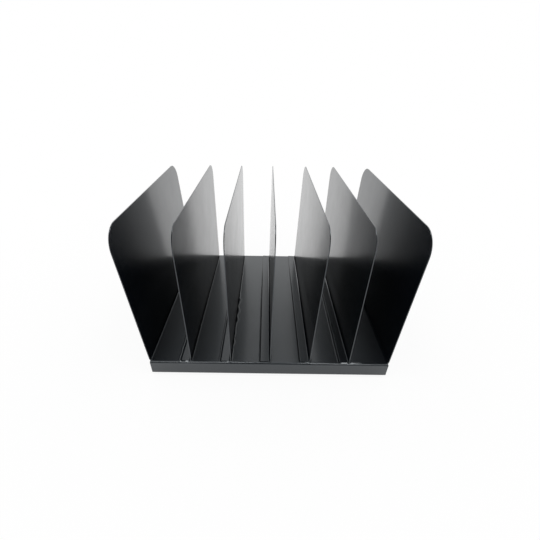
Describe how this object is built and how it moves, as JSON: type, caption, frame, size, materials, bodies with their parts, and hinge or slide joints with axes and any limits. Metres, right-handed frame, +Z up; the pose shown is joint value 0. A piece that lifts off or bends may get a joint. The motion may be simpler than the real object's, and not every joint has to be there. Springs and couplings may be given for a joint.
{
  "type": "desktop file organizer",
  "caption": "Desktop file organizer of folded black sheet steel: a flanged base, splayed end walls and upright dividers that form open slots for folders and papers.",
  "frame": {"origin": "on the table, at the lower faces of the feet, under the centre of the overall box in X and Y. The middle of the base is 2.0 mm to the right of it, because the left-hand end wall leans out more", "axes": "+X along the row of slots, to the right seen from the front; +Y from the front apron to the rear one; +Z up"},
  "size_m": [0.3226, 0.279, 0.204],
  "materials": {
    "enamelled_steel": "semi-gloss black baked enamel on cold-rolled steel sheet",
    "foot_rubber": "matte black moulded rubber"
  },
  "bodies": {
    "root": {"body": "enamelled_steel", "divider_1": "enamelled_steel", "divider_2": "enamelled_steel", "divider_3": "enamelled_steel", "divider_4": "enamelled_steel", "divider_5": "enamelled_steel", "foot_front_left": "foot_rubber", "foot_front_right": "foot_rubber", "foot_rear_left": "foot_rubber", "foot_rear_right": "foot_rubber"}
  },
  "joints": []
}
